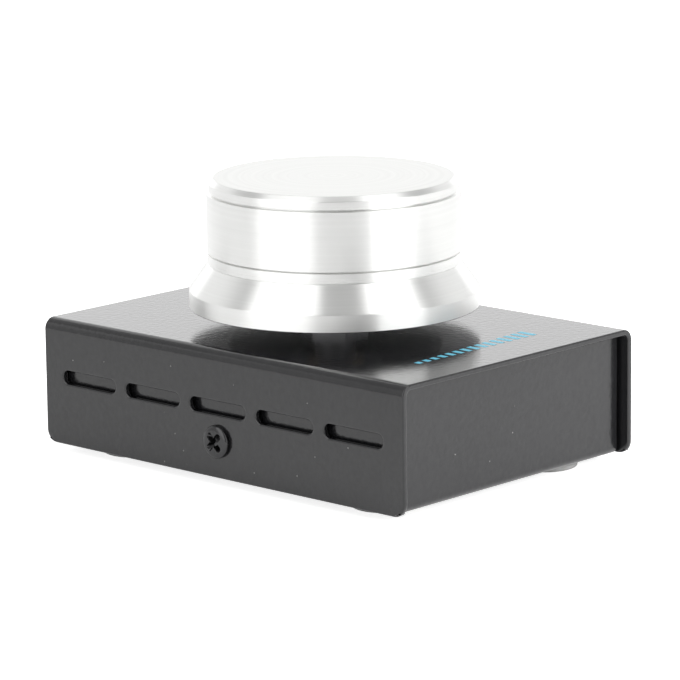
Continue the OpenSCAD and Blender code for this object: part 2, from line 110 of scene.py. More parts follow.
class Wire:
    """One output of a shader node, with the arithmetic of its values."""

    def __init__(self, tree: "ShaderTree", socket: bpy.types.NodeSocket) -> None:
        """Keeps the tree that the socket belongs to and the socket."""
        self.tree = tree
        self.socket = socket

    def _joined(self, operation: str, first: "Value", second: "Value") -> "Wire":
        """Adds the Math node of one operation on two values."""
        return self.tree.add("ShaderNodeMath", {"operation": operation}, {0: first, 1: second})

    def __add__(self, other: "Value") -> "Wire":
        """Sum of two values."""
        return self._joined("ADD", self, other)

    __radd__ = __add__

    def __sub__(self, other: "Value") -> "Wire":
        """Difference of two values."""
        return self._joined("SUBTRACT", self, other)

    def __rsub__(self, other: float) -> "Wire":
        """Difference of a number and this value."""
        return self._joined("SUBTRACT", other, self)

    def __mul__(self, other: "Value") -> "Wire":
        """Product of two values."""
        return self._joined("MULTIPLY", self, other)

    __rmul__ = __mul__

    def __pow__(self, power: float) -> "Wire":
        """This value raised to a number."""
        return self._joined("POWER", self, power)

    def __lt__(self, other: "Value") -> "Wire":
        """One where this value is the less, and otherwise zero."""
        return self._joined("LESS_THAN", self, other)

    def __or__(self, other: "Value") -> "Wire":
        """The greater of two values, which joins two masks."""
        return self._joined("MAXIMUM", self, other)

    def swing(self, reach: float) -> "Wire":
        """This noise about its mean, times a reach."""
        return reach * (self - NOISE_MEAN)


Value = float | Colour | Wire


class ShaderTree:
    """Node tree of a material or of the world, emptied and built anew."""

    def __init__(self, owner: bpy.types.Material | bpy.types.World) -> None:
        """Empties the owner's tree.

        Args:
            owner: the material or world whose nodes are built.
        """
        owner.use_nodes = True
        self.nodes = owner.node_tree.nodes
        self.links = owner.node_tree.links
        self.nodes.clear()

    def add(self, kind: str, settings: dict | None = None, sockets: dict | None = None,
            out: int | str = 0) -> Wire:
        """Adds one node.

        Args:
            kind: the node's type.
            settings: its properties.
            sockets: values or wires for its inputs, by name or number.
            out: name or number of the output that is wanted.

        Returns:
            The wanted output.
        """
        node = self.nodes.new(kind)
        for name, setting in (settings or {}).items():
            setattr(node, name, setting)
        for name, value in (sockets or {}).items():
            if isinstance(value, Wire):
                self.links.new(value.socket, node.inputs[name])
            else:
                node.inputs[name].default_value = value
        return Wire(self, node.outputs[out] if len(node.outputs) else None)

    def place(self) -> Wire:
        """Object coordinates, in metres."""
        return self.add("ShaderNodeTexCoord", out="Object")

    def noise(self, size: float, detail: float = 2.0, rough: float = 0.5, at: Wire | None = None) -> Wire:
        """Cloudy noise in space.

        Args:
            size: width of one cloud, in metres.
            detail: octaves of finer noise.
            rough: strength of the finer octaves.
            at: place that is looked up, which is the object's own if left out.

        Returns:
            The noise, about one half.
        """
        values = {"Vector": at or self.place(), "Scale": 1 / size, "Detail": detail, "Roughness": rough}
        return self.add("ShaderNodeTexNoise", {}, values)

    def cloud(self, size: float) -> Wire:
        """Slow mottling with clouds of a width in metres."""
        return self.noise(size, CLOUD_DETAIL)

    def lines(self, run: Wire, size: float, detail: float, rough: float = 0.5) -> Wire:
        """Noise along one run, which makes lines across it.

        Args:
            run: distance along the run, in metres.
            size: width of one line, in metres.
            detail: octaves of finer noise.
            rough: strength of the finer octaves.

        Returns:
            The noise, about one half.
        """
        values = {"W": run, "Scale": 1 / size, "Detail": detail, "Roughness": rough}
        return self.add("ShaderNodeTexNoise", {"noise_dimensions": "1D"}, values)

    def mixed(self, mask: Value, low: Colour | Wire, high: Colour | Wire) -> Wire:
        """Colour between two colours.

        Args:
            mask: share of the second colour.
            low: colour where the mask is zero.
            high: colour where the mask is one.

        Returns:
            The mixed colour.
        """
        ends = [colour if isinstance(colour, Wire) else (*colour, 1.0) for colour in (low, high)]
        sockets = {0: mask, 6: ends[0], 7: ends[1]}
        return self.add("ShaderNodeMix", {"data_type": "RGBA"}, sockets, out=2)

    def bump(self, height: Value, depth: float) -> Wire:
        """Normal of a relief whose heights from zero to one span a depth in metres."""
        return self.add("ShaderNodeBump", {}, {"Strength": 1.0, "Distance": depth, "Height": height})

    def skin(self, **sockets: Value) -> Wire:
        """Adds a Principled shader.

        Args:
            sockets: values or wires by socket name, with spaces written as underscores.

        Returns:
            The shader.
        """
        named = {name.replace("_", " "): value for name, value in sockets.items()}
        return self.add("ShaderNodeBsdfPrincipled", {}, named)

    def seen(self) -> tuple[Wire, Wire]:
        """Masks of the rays that show the surroundings.

        Returns:
            The mask of the camera's own rays, and that of rays in mirrors and glass.
        """
        camera, mirror, glass = (self.add("ShaderNodeLightPath", out=f"Is {kind} Ray")
                                 for kind in ("Camera", "Glossy", "Transmission"))
        return camera, mirror | glass


class Finish:
    """Surface of one material."""

    def shader(self, tree: ShaderTree) -> Wire:
        """Adds the surface's nodes to a tree and gives their shader."""
        raise NotImplementedError

    def make(self, name: str) -> bpy.types.Material:
        """Builds the material.

        Args:
            name: the material's name.

        Returns:
            The material.
        """
        material = bpy.data.materials.new(name)
        tree = ShaderTree(material)
        tree.add("ShaderNodeOutputMaterial", {}, {"Surface": self.shader(tree)})
        return material


@dataclass(frozen=True)
class PowderCoat(Finish):
    """Black powder coat with a fine leathery grain and a few specks of dust."""

    colour: Colour = (0.009, 0.009, 0.0102)
    worn: Colour = (0.014, 0.014, 0.0155)
    dust: Colour = (0.3, 0.3, 0.29)
    grain: float = 0.9 * MM
    grain_detail: float = 2.5
    grain_rough: float = 0.45
    grain_depth: float = 0.042 * MM
    wear: float = 54.0 * MM
    roughness: float = 0.17
    grain_dulling: float = 0.08
    wear_dulling: float = 0.04
    index: float = 1.5
    gloss: float = 0.3
    gloss_mottle: float = 0.25
    gloss_roughness: float = 0.12
    dust_cell: float = 3.0 * MM
    dust_size: float = 0.035
    dust_share: float = 0.3

    def shader(self, tree: ShaderTree) -> Wire:
        """Builds the powder coat.

        Args:
            tree: the tree of its material.

        Returns:
            The shader.
        """
        grain = tree.noise(self.grain, self.grain_detail, self.grain_rough)
        wear = tree.cloud(self.wear)
        cells = {"Vector": tree.place(), "Scale": 1 / self.dust_cell}
        near = tree.add("ShaderNodeTexVoronoi", {}, cells, out="Distance")
        chance = tree.add("ShaderNodeTexVoronoi", {}, cells, out="Color")
        picked = tree.add("ShaderNodeSeparateColor", {}, {"Color": chance}, out="Red")
        specks = (near < self.dust_size) * (picked < self.dust_share)
        coat = tree.mixed(wear, self.colour, self.worn)
        return tree.skin(
            Base_Color=tree.mixed(specks, coat, self.dust),
            Roughness=self.roughness + grain.swing(self.grain_dulling) + wear.swing(self.wear_dulling),
            IOR=self.index,
            Coat_Weight=self.gloss + grain.swing(self.gloss_mottle),
            Coat_Roughness=self.gloss_roughness,
            Normal=tree.bump(grain, self.grain_depth),
        )


@dataclass(frozen=True)
class TurnedAluminium(Finish):
    """Bright metal with fine rings from the lathe tool, evenly faced on top, duller underneath and inside,
    where painted shade darkens its colour.
    """

    face_z: float
    foot_z: float
    hollow_r: float
    hollow_z: float
    valley: Colour = (0.735, 0.738, 0.725)
    ridge: Colour = (0.885, 0.888, 0.875)
    # Painted shade: colour of the faces under the knob and inside its hollow, darker than the bright metal
    painted_shade: Colour = (0.13, 0.13, 0.13)
    underside_dulling: float = 0.25
    roughness: float = 0.31
    faced_roughness: float = 0.46
    feed: float = 0.11 * MM
    feed_detail: float = 3.0
    feed_rough: float = 0.6
    ring_dulling: float = 0.1
    feeds_per_band: float = 1 / 0.12
    band_detail: float = 1.0
    band_dulling: float = 0.06
    cut_depth: float = 0.0016 * MM
    anisotropy: float = 0.9
    across_lines: float = 0.25

    def shader(self, tree: ShaderTree) -> Wire:
        """Builds the turned metal.

        Args:
            tree: the tree of its material.

        Returns:
            The shader.
        """
        parts = {"Vector": tree.place()}
        x, y, z = (tree.add("ShaderNodeSeparateXYZ", {}, parts, out=axis) for axis in "XYZ")
        radius = (x * x + y * y) ** 0.5
        run = z - radius
        # Mask of the underside and the hollow, which gets painted shade in its colour and a duller roughness
        shade_and_dull_mask = (z < self.foot_z) | (radius < self.hollow_r) * (z < self.hollow_z)
        rings = tree.lines(run, self.feed, self.feed_detail, self.feed_rough)
        bands = tree.lines(run, self.feed * self.feeds_per_band, self.band_detail)
        bright = tree.mixed(0.5 * (rings + bands), self.valley, self.ridge)
        uneven = rings.swing(self.ring_dulling) + bands.swing(self.band_dulling)
        dulling = uneven + self.underside_dulling * shade_and_dull_mask
        # Base colour: the turned metal's rings, with painted shade under the knob and inside its hollow
        shared = {"Base_Color": tree.mixed(shade_and_dull_mask, bright, self.painted_shade), "Metallic": 1.0,
                  "Normal": tree.bump(rings, self.cut_depth)}
        turned = tree.skin(**shared, Roughness=self.roughness + dulling, Anisotropic=self.anisotropy,
                           Anisotropic_Rotation=self.across_lines)
        faced = tree.skin(**shared, Roughness=self.faced_roughness + dulling)
        return tree.add("ShaderNodeMixShader", {}, {0: z < self.face_z, 1: faced, 2: turned})


@dataclass(frozen=True)
class Moulding(Finish):
    """Moulded plastic, rubber, ceramic or ink: one colour, mottled, with a fine grain."""

    colour: Colour
    mottled: Colour
    roughness: float = 0.5
    grain: float = 0.2 * MM
    grain_depth: float = 0.006 * MM
    grain_dulling: float = 0.12
    grains_per_mottle: float = 25.0

    def shader(self, tree: ShaderTree) -> Wire:
        """Builds the moulding.

        Args:
            tree: the tree of its material.

        Returns:
            The shader.
        """
        grain = tree.noise(self.grain)
        mottle = tree.cloud(self.grains_per_mottle * self.grain)
        return tree.skin(
            Base_Color=tree.mixed(mottle, self.colour, self.mottled),
            Roughness=self.roughness + grain.swing(self.grain_dulling),
            Normal=tree.bump(grain, self.grain_depth),
        )


@dataclass(frozen=True)
class PlainMetal(Finish):
    """Plated or machined metal with fine scratches along one axis and small stains."""

    colour: Colour
    stained: Colour
    roughness: float = 0.3
    scratch: float = 0.06 * MM
    scratch_run: float = 0.08
    scratch_depth: float = 0.001 * MM
    scratch_dulling: float = 0.12
    stain: float = 2.4 * MM
    stain_dulling: float = 0.1

    def shader(self, tree: ShaderTree) -> Wire:
        """Builds the metal.

        Args:
            tree: the tree of its material.

        Returns:
            The shader.
        """
        stretch = {"Vector": tree.place(), "Scale": (1.0, 1.0, self.scratch_run)}
        scratches = tree.noise(self.scratch, at=tree.add("ShaderNodeMapping", {}, stretch))
        stains = tree.cloud(self.stain)
        uneven = scratches.swing(self.scratch_dulling) + stains.swing(self.stain_dulling)
        return tree.skin(
            Base_Color=tree.mixed(stains, self.colour, self.stained),
            Metallic=1.0,
            Roughness=self.roughness + uneven,
            Normal=tree.bump(scratches, self.scratch_depth),
        )


@dataclass(frozen=True)
class BoardLaminate(Finish):
    """Glass laminate under a green mask, with tracks faintly raised under it."""

    mask: Colour = (0.012, 0.12, 0.05)
    track: Colour = (0.03, 0.2, 0.085)
    track_pitch: float = 1.6 * MM
    track_share: float = 0.42
    track_scatter: float = 0.6
    track_depth: float = 0.03 * MM
    weave: float = 0.48 * MM
    weave_dulling: float = 0.1
    roughness: float = 0.32
    gloss: float = 0.4

    def shader(self, tree: ShaderTree) -> Wire:
        """Builds the laminate.

        Args:
            tree: the tree of its material.

        Returns:
            The shader.
        """
        cells = {"Vector": tree.place(), "Scale": 1 / self.track_pitch, "Randomness": self.track_scatter}
        square = {"distance": "CHEBYCHEV", "feature": "F2"}
        tracks = tree.add("ShaderNodeTexVoronoi", square, cells, out="Distance") < self.track_share
        return tree.skin(
            Base_Color=tree.mixed(tracks, self.mask, self.track),
            Roughness=self.roughness + tree.noise(self.weave).swing(self.weave_dulling),
            Coat_Weight=self.gloss,
            Normal=tree.bump(tracks, self.track_depth),
        )


@dataclass(frozen=True)
class Glow(Finish):
    """Even white light of a studio card."""

    strength: float

    def shader(self, tree: ShaderTree) -> Wire:
        """Adds the glow's one node."""
        return tree.add("ShaderNodeEmission", {}, {"Color": (1, 1, 1, 1), "Strength": self.strength})


@dataclass(frozen=True)
class PaleFloor(Finish):
    """Pale floor that glows to white where it is seen, and keeps the object's shadow."""

    grey: float = 0.82
    seen_glow: float = 0.82
    mirrored_glow: float = 0.36

    def shader(self, tree: ShaderTree) -> Wire:
        """Builds the floor's surface.

        Args:
            tree: the tree of its material.

        Returns:
            The shader.
        """
        diffuse = tree.add("ShaderNodeBsdfDiffuse", {}, {"Color": (self.grey, self.grey, self.grey, 1)})
        direct, mirrored = tree.seen()
        strength = self.seen_glow * direct + self.mirrored_glow * mirrored
        glow = tree.add("ShaderNodeEmission", {}, {"Strength": strength})
        return tree.add("ShaderNodeAddShader", {}, {0: diffuse, 1: glow})


def finish_rack() -> dict[Slot, bpy.types.Material]:
    """Makes every finish of the object.

    Returns:
        The materials by slot.
    """
    knob = Knob()
    finishes: dict[Slot, Finish] = {
        Slot.POWDER_COAT: PowderCoat(),
        Slot.TURNED_ALUMINIUM: TurnedAluminium(
            # foot_z, hollow_r and hollow_z bound the underside and hollow that get painted shade
            face_z=knob.high.z - knob.edge_r / 2,
            foot_z=knob.low.z + knob.edge_r,
            hollow_r=knob.recess_d / 2 + knob.edge_r,
            hollow_z=knob.high.z - knob.crown_t + knob.edge_r,
        ),
        Slot.FOOT_RUBBER: Moulding((0.4, 0.4, 0.395), (0.46, 0.46, 0.455), 0.62),
        Slot.BLACK_SCREW: PlainMetal((0.075, 0.075, 0.077), (0.06, 0.06, 0.061), 0.17),
        Slot.PLATED_STEEL: PlainMetal((0.62, 0.62, 0.64), (0.54, 0.54, 0.55)),
        Slot.SPRING_METAL: PlainMetal((0.72, 0.5, 0.3), (0.6, 0.4, 0.24)),
        Slot.BRASS: PlainMetal((0.5, 0.41, 0.24), (0.4, 0.31, 0.17), 0.4),
        Slot.GOLD_PLATE: PlainMetal((0.88, 0.68, 0.3), (0.8, 0.6, 0.26), 0.22),
        Slot.DARK_MOULDING: Moulding((0.03, 0.032, 0.03), (0.045, 0.047, 0.045), 0.42),
        Slot.PALE_MOULDING: Moulding((0.74, 0.74, 0.7), (0.68, 0.68, 0.64), 0.45),
        Slot.BOARD_LAMINATE: BoardLaminate(),
        Slot.CERAMIC: Moulding((0.46, 0.34, 0.2), (0.38, 0.28, 0.17), 0.5),
        Slot.PRINT_INK: Moulding((0.06, 0.4, 0.56), (0.09, 0.45, 0.6), 0.4, 0.12 * MM, 0.002 * MM),
    }
    return {slot: finish.make(slot.value) for slot, finish in finishes.items()}


def set_down(name: str, data: bpy.types.ID) -> bpy.types.Object:
    """Puts a mesh, a lamp or a camera into the scene.

    Args:
        name: the object's name.
        data: what it shows.

    Returns:
        The object.
    """
    made = bpy.data.objects.new(name, data)
    bpy.context.scene.collection.objects.link(made)
    return made


def cast(name: str, shape: BMesh, material: bpy.types.Material | None = None) -> bpy.types.Object:
    """Makes an object of a shape.

    Args:
        name: the object's and its mesh's name.
        shape: its bmesh, which is freed.
        material: its material, if it has one.

    Returns:
        The object.
    """
    mesh = bpy.data.meshes.new(name)
    shape.to_mesh(mesh)
    shape.free()
    if material:
        mesh.materials.append(material)
    return set_down(name, mesh)


@dataclass
class Workshop:
    """Turns shapes into pieces of the object and reports them."""

    finishes: dict[Slot, bpy.types.Material] = field(default_factory=finish_rack)
    sharp_angle: float = math.radians(35)
    flat_weight: int = 100

    def piece(self, name: str, shape: BMesh, slot: Slot, body: Body = Body.HOUSING,
              stands_for: Iterable[str] = (), wall: float = 0.0, arris: float = 0.0,
              arris_steps: int = 3) -> bpy.types.Object:
        """Makes a piece from a shape.

        Args:
            name: the piece's name.
            shape: its bmesh, which is freed.
            slot: material slot of its finish.
            body: the body that it rides on.
            stands_for: CAD nodes that it takes the place of.
            wall: sheet thickness given to an open surface, inwards.
            arris: rounding of its sharp edges.
            arris_steps: faces across that rounding.

        Returns:
            The finished object.
        """
        for face in shape.faces:
            face.smooth = True
        made = cast(name, shape, self.finishes[slot])
        self._settle(made, wall, arris, arris_steps)
        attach(made, body.value)
        if stands_for:
            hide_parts(*stands_for)
        LOG.info("%s: %d faces on %s", name, len(made.data.polygons), body.value)
        return made

    def _settle(self, made: bpy.types.Object, wall: float, arris: float, arris_steps: int) -> None:
        """Applies the wall, the rounded arrises and flat shading of flat faces to a piece's mesh.

        Args:
            made: the piece.
            wall: sheet thickness, or zero.
            arris: rounding of sharp edges, or zero.
            arris_steps: faces across that rounding.
        """
        if wall:
            sheet = made.modifiers.new("wall", "SOLIDIFY")
            sheet.thickness = wall
            sheet.offset = -1.0
            sheet.use_even_offset = True
        if arris:
            edge = made.modifiers.new("arris", "BEVEL")
            edge.width = arris
            edge.segments = arris_steps
            edge.limit_method = "ANGLE"
            edge.angle_limit = self.sharp_angle
            edge.use_clamp_overlap = False
        flat = made.modifiers.new("flat", "WEIGHTED_NORMAL")
        flat.mode = "FACE_AREA"
        flat.weight = self.flat_weight
        ready = made.evaluated_get(bpy.context.evaluated_depsgraph_get())
        baked = bpy.data.meshes.new_from_object(ready)
        made.modifiers.clear()
        made.data = baked
        baked.name = made.name

    def dress(self, slot: Slot, *nodes: str) -> None:
        """Gives CAD nodes a finish.

        Args:
            slot: material slot of the finish.
            nodes: names of the nodes.
        """
        for node in nodes:
            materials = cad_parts[node].data.materials
            materials.clear()
            materials.append(self.finishes[slot])
            LOG.info("%s dressed in %s", node, slot.value)


def verts_of(parts: Iterable[BMVert | BMEdge | BMFace]) -> list[BMVert]:
    """Vertices among the parts that an operator made."""
    return [part for part in parts if isinstance(part, BMVert)]


def chain(shape: BMesh, points: Iterable[Vector]) -> list[BMVert]:
    """Draws a line of edges.

    Args:
        shape: the mesh to draw in.
        points: its corners in order.

    Returns:
        The corners' vertices.
    """
    corners = [shape.verts.new(point) for point in points]
    for first, second in zip(corners, corners[1:]):
        shape.edges.new((first, second))
    return corners


def rectangle(shape: BMesh, width: float, depth: float, place: Matrix = Matrix()) -> list[BMVert]:
    """Adds a flat rectangle round the origin.

    Args:
        shape: the mesh.
        width: size along X.
        depth: size along Y.
        place: where it goes.

    Returns:
        Its corners.
    """
    size = Matrix.Diagonal((width, depth, 1, 1))
    grid = bmesh.ops.create_grid(shape, x_segments=1, y_segments=1, size=0.5, matrix=place @ size)
    return grid["verts"]


def pull(shape: BMesh, edges: Iterable[BMEdge], way: Vector) -> None:
    """Pulls faces out of edges.

    Args:
        shape: the mesh.
        edges: the edges that the faces start from.
        way: how far and where to.
    """
    made = bmesh.ops.extrude_edge_only(shape, edges=list(edges))["geom"]
    bmesh.ops.translate(shape, vec=way, verts=verts_of(made))


def round_off(shape: BMesh, corners: Iterable[BMVert], radius: float, steps: int) -> None:
    """Rounds corners of a line or of flat faces.

    Args:
        shape: the mesh.
        corners: the vertices to round.
        radius: distance from a corner at which the arc starts.
        steps: edges of the arc.
    """
    bmesh.ops.bevel(shape, geom=list(corners), offset=radius, offset_type="OFFSET", segments=steps,
                    profile=0.5, affect="VERTICES", material=-1)


def turn(shape: BMesh, steps: int, centre: Vector = Vector()) -> None:
    """Spins a drawn outline in X and Z once round a vertical axis and closes it.

    Args:
        shape: mesh that holds only the outline.
        steps: faces round the axis.
        centre: a point of the axis.
    """
    bmesh.ops.spin(shape, geom=shape.verts[:] + shape.edges[:], cent=centre, axis=Z,
                   angle=2 * math.pi, steps=steps, use_merge=True)
    bmesh.ops.remove_doubles(shape, verts=shape.verts[:], dist=MERGE)
    bmesh.ops.recalc_face_normals(shape, faces=shape.faces[:])


def face_towards(shape: BMesh, direction: Vector) -> BMFace:
    """Largest face whose normal points along a direction.

    Args:
        shape: the mesh.
        direction: unit direction.

    Returns:
        The face.
    """
    shape.faces.ensure_lookup_table()
    alike = [face for face in shape.faces if face.normal.dot(direction) > FLAT]
    return max(alike, key=BMFace.calc_area)


@dataclass
class Opening:
    """Round, oblong or rectangular opening in a flat face, with a collar of even faces round it."""

    centre: Vector
    along: Vector
    across: Vector
    radius: float
    half_l: float = 0.0
    half_w: float = 0.0
    collar: float = 0.5 * MM
    segments: int = 40

    def _shift(self, vert: BMVert) -> Vector:
        """Way from the opening's middle to the centre of the quarter arc that a vertex belongs to.

        Args:
            vert: the vertex.

        Returns:
            The way.
        """
        away = vert.co - self.centre
        side_l = math.copysign(self.half_l, away.dot(self.along))
        side_w = math.copysign(self.half_w, away.dot(self.across))
        return self.along * side_l + self.across * side_w

    def trace(self, shape: BMesh) -> list[BMEdge]:
        """Draws the collar's outer edge.

        Args:
            shape: the mesh.

        Returns:
            The edges of the closed outline.
        """
        axes = Matrix((self.along, self.across, self.along.cross(self.across))).transposed().to_4x4()
        half_step = Matrix.Rotation(math.pi / self.segments, 4, "Z")
        place = Matrix.Translation(self.centre) @ axes @ half_step
        reach = self.radius + self.collar
        ring = bmesh.ops.create_circle(shape, segments=self.segments, radius=reach, matrix=place)["verts"]
        for vert in ring:
            vert.co += self._shift(vert)
        return list({edge for vert in ring for edge in vert.link_edges})

    def draw_in(self, shape: BMesh, outline: list[BMEdge]) -> None:
        """Adds the collar's faces, from its outer edge in to the opening.

        Args:
            shape: the mesh.
            outline: the edges that trace drew.
        """
        made = bmesh.ops.extrude_edge_only(shape, edges=outline)["geom"]
        for vert in verts_of(made):
            middle = self.centre + self._shift(vert)
            vert.co = middle + (vert.co - middle) * (self.radius / (self.radius + self.collar))


def pierce(shape: BMesh, face: BMFace, openings: list[Opening]) -> None:
    """Cuts openings into one flat face.

    Args:
        shape: the mesh.
        face: the face, which is filled anew round the openings.
        openings: openings that lie in it.
    """
    normal = face.normal.copy()
    border = list(face.edges)
    bmesh.ops.delete(shape, geom=[face], context="FACES_ONLY")
    outlines = [opening.trace(shape) for opening in openings]
    edges = border + [edge for outline in outlines for edge in outline]
    bmesh.ops.triangle_fill(shape, use_beauty=True, edges=edges, normal=normal)
    for opening, outline in zip(openings, outlines):
        opening.draw_in(shape, outline)


def point_outwards(shape: BMesh, inside: Vector) -> None:
    """Makes an open surface's faces look away from a point inside it.

    Args:
        shape: the mesh.
        inside: a point on the hollow side of every face.
    """
    bmesh.ops.recalc_face_normals(shape, faces=shape.faces[:])
    first = max(shape.faces, key=BMFace.calc_area)
    if first.normal.dot(first.calc_center_median() - inside) < 0:
        bmesh.ops.reverse_faces(shape, faces=shape.faces[:])


@dataclass
class Case:
    """Folded cover and the folded tray nested in it."""

    sheet_t: float = 1.0 * MM
    bend_r: float = 2.0 * MM
    tray_bend_r: float = 1.3 * MM
    bend_steps: int = 10
    slit_w: float = 0.5 * MM
    flap_corner_r: float = 2.3 * MM
    slot_count: int = 5
    slot_pitch: float = 15.5 * MM
    slot_l: float = 13.0 * MM
    slot_w: float = 2.4 * MM
    slot_drop: float = 9.9 * MM
    screw_drop: float = 15.6 * MM
    screw_hole_r: float = 1.7 * MM
    bush_hole_r: float = 3.7 * MM
    spigot_r: float = 2.1 * MM
    standoff_af: float = 5.5 * MM
    window_corner_r: float = 0.4 * MM
    window_gap: float = 0.2 * MM
    cover_arris: float = 0.28 * MM
    tray_arris: float = 0.2 * MM

    def __post_init__(self) -> None:
        """Takes the places of both sheets from the frame."""
        self.cover_low, self.cover_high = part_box("top_cover")
        self.tray_low, self.tray_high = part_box("bottom_tray")
        self.socket_low, self.socket_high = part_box("socket_shell")
        self.standoff_low, self.standoff_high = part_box("board_standoffs")
        self.middle = (self.cover_low + self.cover_high) / 2

    def slots(self, x: float) -> list[Opening]:
        """Row of vent slots and the screw hole of one flap.

        Args:
            x: place of the flap's outer face.

        Returns:
            The openings.
        """
        half = (self.slot_l - self.slot_w) / 2
        z = self.cover_high.z - self.slot_drop
        ranks = [index - (self.slot_count - 1) / 2 for index in range(self.slot_count)]
        row = [Opening(Vector((x, rank * self.slot_pitch, z)), Y, Z, self.slot_w / 2, half)
               for rank in ranks]
        return row + [self.screw_hole(x)]

    def screw_hole(self, x: float) -> Opening:
        """Hole of a cover screw in a wall at x."""
        return Opening(Vector((x, 0, self.cover_high.z - self.screw_drop)), Y, Z, self.screw_hole_r)

    def cover(self) -> BMesh:
        """Outer surface of the cover: the top and two flaps.

        Returns:
            The open surface, facing outwards.
        """
        low, high = self.cover_low, self.cover_high
        shape = bmesh.new()
        outline = [(low.x, low.z), (low.x, high.z), (high.x, high.z), (high.x, low.z)]
        corners = chain(shape, [Vector((x, low.y, z)) for x, z in outline])
        round_off(shape, corners[1:3], self.bend_r, self.bend_steps)
        pull(shape, shape.edges[:], Y * (high.y - low.y))
        feet = [vert for vert in shape.verts if vert.co.z < low.z + TOUCH]
        round_off(shape, feet, self.flap_corner_r, self.bend_steps)
        point_outwards(shape, self.middle)
        for side, x in ((-X, low.x), (X, high.x)):
            pierce(shape, face_towards(shape, side), self.slots(x))
        bush = Opening(Vector((0, 0, high.z)), X, Y, self.bush_hole_r)
        pierce(shape, face_towards(shape, Z), [bush])
        point_outwards(shape, self.middle)
        return shape

    def tray(self) -> BMesh:
        """Outer surface of the tray: a strip with two end panels, and two sides bent up from its floor.

        Returns:
            The open surface, facing outwards.
        """
        low, high = self.tray_low, self.tray_high
        shape = bmesh.new()
        outline = [(low.y, high.z), (low.y, low.z), (high.y, low.z), (high.y, high.z)]
        corners = chain(shape, [Vector((low.x, y, z)) for y, z in outline])
        round_off(shape, corners[1:3], self.tray_bend_r, self.bend_steps)
        pull(shape, shape.edges[:], X * (high.x - low.x))
        tops = [vert for vert in shape.verts if vert.co.z > high.z - TOUCH]
        round_off(shape, tops, self.bend_r - self.sheet_t, self.bend_steps)
        point_outwards(shape, self.middle)
        for side in (-X, X):
            self.fold_side(shape, side)
        point_outwards(shape, self.middle)
        for side, x in ((-X, low.x), (X, high.x)):
            pierce(shape, face_towards(shape, side), [self.screw_hole(x)])
        pierce(shape, face_towards(shape, Y), [self.socket_window()])
        pierce(shape, face_towards(shape, -Z), self.spigot_holes())
        point_outwards(shape, self.middle)
        return shape

    def fold_side(self, shape: BMesh, side: Vector) -> None:
        """Cuts the slits at the ends of one side of the tray and bends the side up from the floor.

        Args:
            shape: the strip.
            side: unit direction of the side.
        """
        low, high = self.tray_low, self.tray_high
        reach = high.x - self.tray_bend_r
        half_l = high.y - self.tray_bend_r - self.slit_w

        def halve(face: BMFace, way: Vector, place: float) -> None:
            """Cuts a face along an upright plane."""
            parts = [face, *face.edges, *face.verts]
            bmesh.ops.bisect_plane(shape, geom=parts, plane_co=way * place, plane_no=way)

        def margin() -> list[BMFace]:
            """Faces of the floor beyond the bend's start."""
            return [face for face in shape.faces
                    if face.normal.z < -FLAT and face.calc_center_median().dot(side) > reach]

        def on_fold(vert: BMVert) -> bool:
            """Whether a vertex lies on the line that the side is bent along."""
            on_line = abs(vert.co.dot(side) - reach) < TOUCH and vert.co.z < low.z + TOUCH
            return on_line and abs(vert.co.y) < half_l + TOUCH

        halve(face_towards(shape, -Z), side, reach)
        for end in (-Y, Y):
            halve(max(margin(), key=BMFace.calc_area), end, half_l)
        bmesh.ops.delete(shape, geom=margin(), context="FACES")
        fold = [edge for edge in shape.edges if all(on_fold(vert) for vert in edge.verts)]
        axis_at = side * reach + Z * (low.z + self.tray_bend_r)
        bent = bmesh.ops.spin(shape, geom=fold, cent=axis_at, axis=Y, angle=-side.x * math.pi / 2,
                              steps=self.bend_steps)
        rim = [part for part in bent["geom_last"] if isinstance(part, BMEdge)]
        top = high.z - (self.bend_r - self.sheet_t)
        pull(shape, rim, Z * (top - low.z - self.tray_bend_r))

    def socket_window(self) -> Opening:
        """Cut-out of the rear panel round the data socket.

        Returns:
            The opening.
        """
        size = self.socket_high - self.socket_low
        middle = (self.socket_low + self.socket_high) / 2
        reach = self.window_gap - self.window_corner_r
        return Opening(Vector((middle.x, self.tray_high.y, middle.z)), X, Z, self.window_corner_r,
                       size.x / 2 + reach, size.z / 2 + reach)

    def spigot_holes(self) -> list[Opening]:
        """Holes in the floor round the standoffs' spigots.

        Returns:
            The openings.
        """
        size = self.standoff_high - self.standoff_low
        x = size.x / 2 - self.standoff_af / math.sqrt(3)
        y = size.y / 2 - self.standoff_af / 2
        places = [(side_x * x, side_y * y) for side_x in (-1, 1) for side_y in (-1, 1)]
        return [Opening(Vector((*place, self.tray_low.z)), X, Y, self.spigot_r) for place in places]

    def build(self, shop: Workshop) -> None:
        """Makes the cover and the tray.

        Args:
            shop: the workshop that finishes the pieces.
        """
        coat = Slot.POWDER_COAT
        shop.piece("folded_cover", self.cover(), coat, stands_for=["top_cover"], wall=self.sheet_t,
                   arris=self.cover_arris)
        shop.piece("folded_tray", self.tray(), coat, stands_for=["bottom_tray"], wall=self.sheet_t,
                   arris=self.tray_arris)


